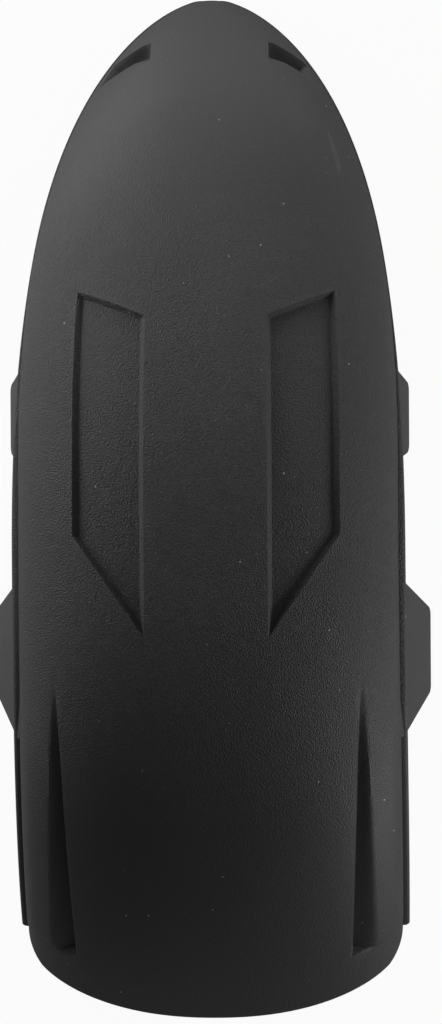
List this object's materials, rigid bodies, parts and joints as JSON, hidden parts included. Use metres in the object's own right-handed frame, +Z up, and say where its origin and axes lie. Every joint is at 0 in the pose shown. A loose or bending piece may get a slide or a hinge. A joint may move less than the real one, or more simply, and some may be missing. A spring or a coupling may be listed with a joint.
{
  "type": "motorcycle rear mudguard",
  "caption": "Curved black plastic motorcycle mudguard with a tapered nose, sunken panels, rear flutes, a rim bead and hanging mounting ears.",
  "frame": {"origin": "middle of the length and width, at the height of the surface that the nose tip and the two rear corners rest on", "axes": "+Y along the arch towards the nose, +Z up, +X to the right seen from above with the nose ahead"},
  "size_m": [0.2184, 0.5136, 0.1292],
  "materials": {
    "black_plastic": "moulded fine grain",
    "insert_brass": "machined"
  },
  "bodies": {
    "root": {"mudguard_shell": "black_plastic", "threaded_inserts": "insert_brass"}
  },
  "joints": []
}
